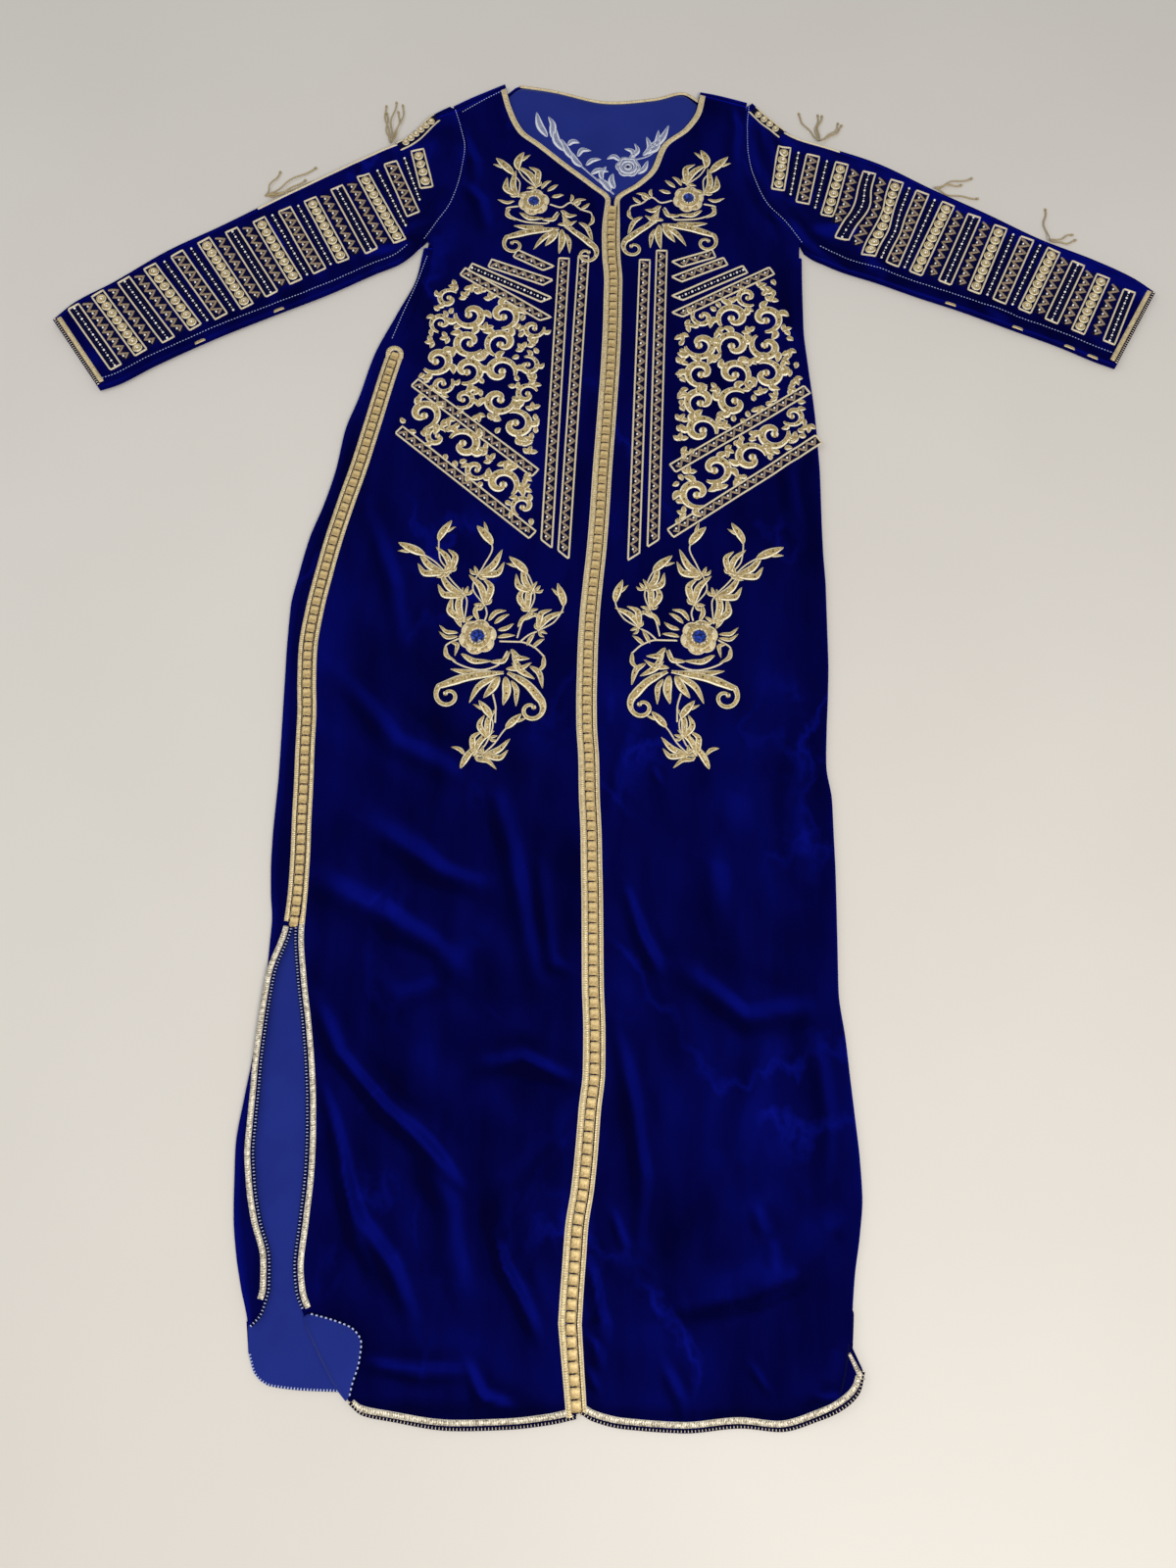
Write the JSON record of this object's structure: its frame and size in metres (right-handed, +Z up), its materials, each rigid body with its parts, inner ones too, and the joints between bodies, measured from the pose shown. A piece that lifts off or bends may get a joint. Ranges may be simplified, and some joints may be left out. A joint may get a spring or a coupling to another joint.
{
  "type": "kaftan",
  "caption": "Long velvet kaftan laid flat, face up, arms out: open neck with braid, buttoned front, buttoned side slit, embroidered bands and flowers.",
  "frame": {"origin": "middle of the garment's outline in X and Y, on the surface it lies on", "axes": "+X to the wearer's left, +Y from hem to neck, +Z up out of the garment's front"},
  "size_m": [1.2252, 1.435, 0.0125],
  "materials": {
    "velvet": "short deep pile, royal blue",
    "lining": "matte plain weave, blue",
    "gold": "metallic braid and couched cord",
    "cream": "cream cord and loose cord ends",
    "stone": "faceted blue stone"
  },
  "bodies": {
    "root": {"back": "velvet", "back_side_fold": "velvet", "shoulder_fold_right": "velvet", "shoulder_fold_left": "velvet", "lining_back": "lining", "front_right": "velvet", "front_right_corner": "lining", "front_left": "velvet", "front_left_under_fold": "velvet", "sleeve_right": "velvet", "sleeve_left": "velvet", "neck_front_braid_right": "gold", "neck_front_braid_left": "gold", "hem_braid_right": "gold", "hem_braid_left": "gold", "side_slit_braid_back": "gold", "side_slit_braid_front": "gold", "side_braid_turn": "gold", "back_neck_cord": "cream", "cuff_braid_right": "gold", "cuff_braid_left": "gold", "front_buttons": "gold", "side_buttons": "gold", "sleeve_band_right": "gold", "sleeve_band_left": "gold", "sleeve_cord_right": "cream", "sleeve_cord_left": "cream", "rosette_upper_right": "gold", "stone_upper_right": "stone", "rosette_upper_left": "gold", "stone_upper_left": "stone", "rosette_lower_right": "gold", "stone_lower_right": "stone", "rosette_lower_left": "gold", "stone_lower_left": "stone", "tassel_right_1": "cream", "tassel_right_2": "cream", "tassel_left_1": "cream", "tassel_left_2": "cream", "tassel_left_3": "cream"}
  },
  "joints": []
}
